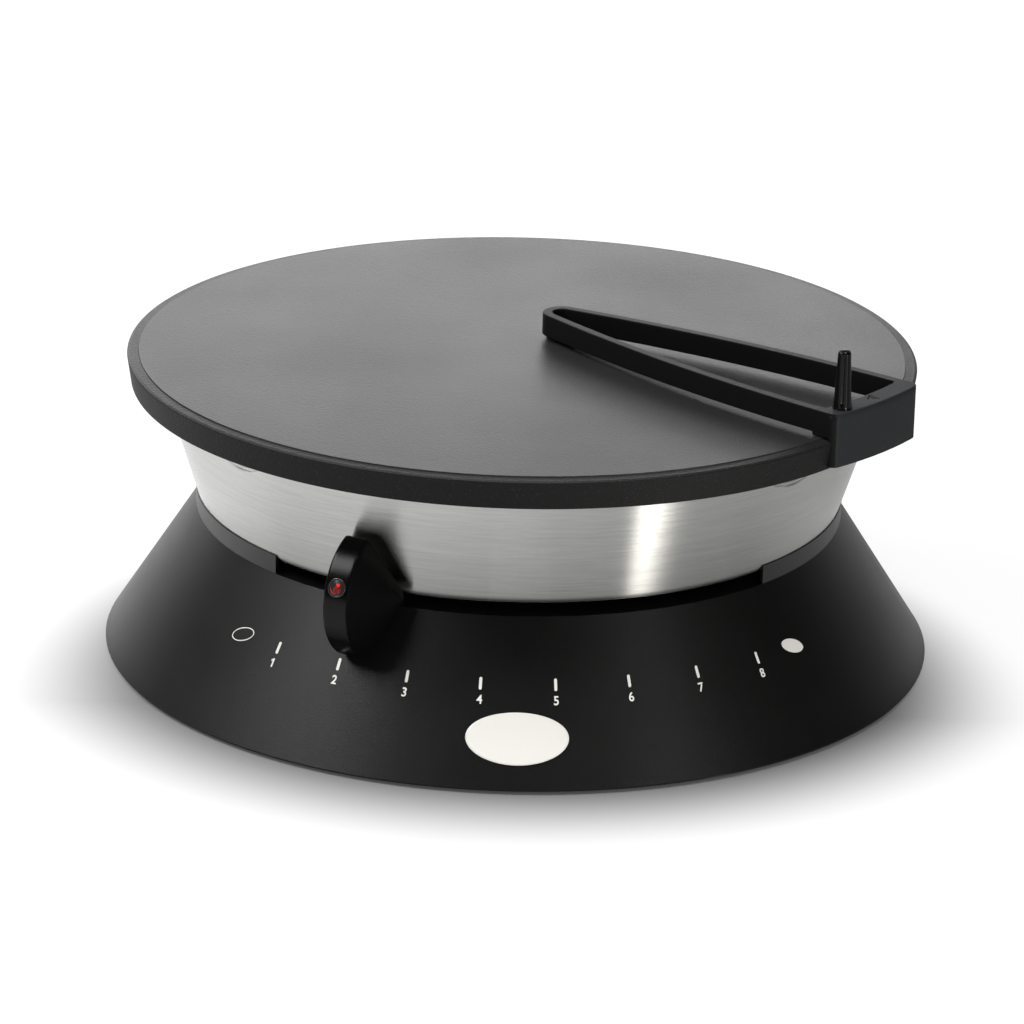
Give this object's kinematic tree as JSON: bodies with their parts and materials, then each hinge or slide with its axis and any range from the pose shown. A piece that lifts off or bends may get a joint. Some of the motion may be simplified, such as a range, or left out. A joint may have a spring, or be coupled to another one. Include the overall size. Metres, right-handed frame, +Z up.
{
  "type": "electric crepe maker",
  "caption": "Electric crepe maker: coated griddle plate on a brushed steel band and flared black base, with a heat lever in a slot and a batter spreader that runs round the plate's rim.",
  "frame": {"origin": "on the table under the centre of the griddle plate", "axes": "+Z up, front with the plain badge and the printed scale towards -Y, cord inlet at +Y"},
  "size_m": [0.37, 0.37, 0.1738],
  "materials": {
    "base_plastic": "satin black moulding",
    "cover_paint": "powder coat",
    "foot_rubber": "matte",
    "badge_face": "smooth off-white, left plain",
    "band_steel": "brushed round the band",
    "plate_coating": "cast plate with a dark speckled non-stick coating",
    "zinc_steel": "zinc plated",
    "sheath_steel": "heat-tinted tube",
    "fibre_pad": "pressed ceramic fibre",
    "reflector_sheet": "bright sheet",
    "ceramic_body": "unglazed ceramic look",
    "brass": "plain",
    "copper_tube": "plain copper",
    "terminal_plastic": "natural nylon",
    "mains_insulation": "glass sleeve",
    "earth_insulation": "sleeve",
    "gland_plastic": "nylon",
    "arm_steel": "plain strip",
    "knob_plastic": "satin black moulding",
    "lens_red": "clear red",
    "bezel_plastic": "gloss black",
    "neon_glass": "clear",
    "lead_sleeve": "silicone sleeve",
    "spreader_plastic": "fine-grained black moulding",
    "peg_plastic": "gloss black"
  },
  "bodies": {
    "appliance": {"base_shell": "base_plastic", "bottom_cover": "cover_paint", "rubber_feet": "foot_rubber", "cover_screws": "zinc_steel", "badge_plate": "badge_face", "steel_band": "band_steel", "band_screws": "zinc_steel", "griddle_plate": "plate_coating", "plate_pillars": "zinc_steel", "pillar_screws": "zinc_steel", "heating_element": "sheath_steel", "element_clamps": "zinc_steel", "clamp_screws": "zinc_steel", "insulation_pad": "fibre_pad", "heat_reflector": "reflector_sheet", "thermostat_bracket": "zinc_steel", "bracket_screws": "zinc_steel", "thermostat_body": "ceramic_body", "thermostat_nut": "zinc_steel", "thermostat_tabs": "brass", "sensor_bulb": "copper_tube", "bulb_clip": "zinc_steel", "clip_screw": "zinc_steel", "thermal_cutout": "ceramic_body", "cutout_screws": "zinc_steel", "terminal_block": "terminal_plastic", "terminal_screws": "brass", "block_screws": "zinc_steel", "mains_leads": "mains_insulation", "earth_lead": "earth_insulation", "earth_screw": "brass", "cord_gland": "gland_plastic", "gland_nut": "gland_plastic"},
    "lever": {"lever_arm": "arm_steel", "lever_hub": "brass", "hub_screw": "zinc_steel", "thermostat_spindle": "zinc_steel", "lever_knob": "knob_plastic", "knob_screw": "zinc_steel", "neon_lamp": "neon_glass", "lamp_leads": "lead_sleeve", "lamp_bezel": "bezel_plastic", "lamp_lens": "lens_red"},
    "spreader": {"spreader_frame": "spreader_plastic", "spreader_peg": "peg_plastic"}
  },
  "joints": [
    {"name": "lever_turn", "type": "hinge", "parent": "appliance", "child": "lever", "pos_m": [0, 0, 0.067], "axis": [0, 0, 1], "range_deg": [-18, 70]},
    {"name": "spreader_turn", "type": "hinge", "parent": "appliance", "child": "spreader", "pos_m": [0, 0, 0.1358], "axis": [0, 0, 1], "continuous": true}
  ]
}
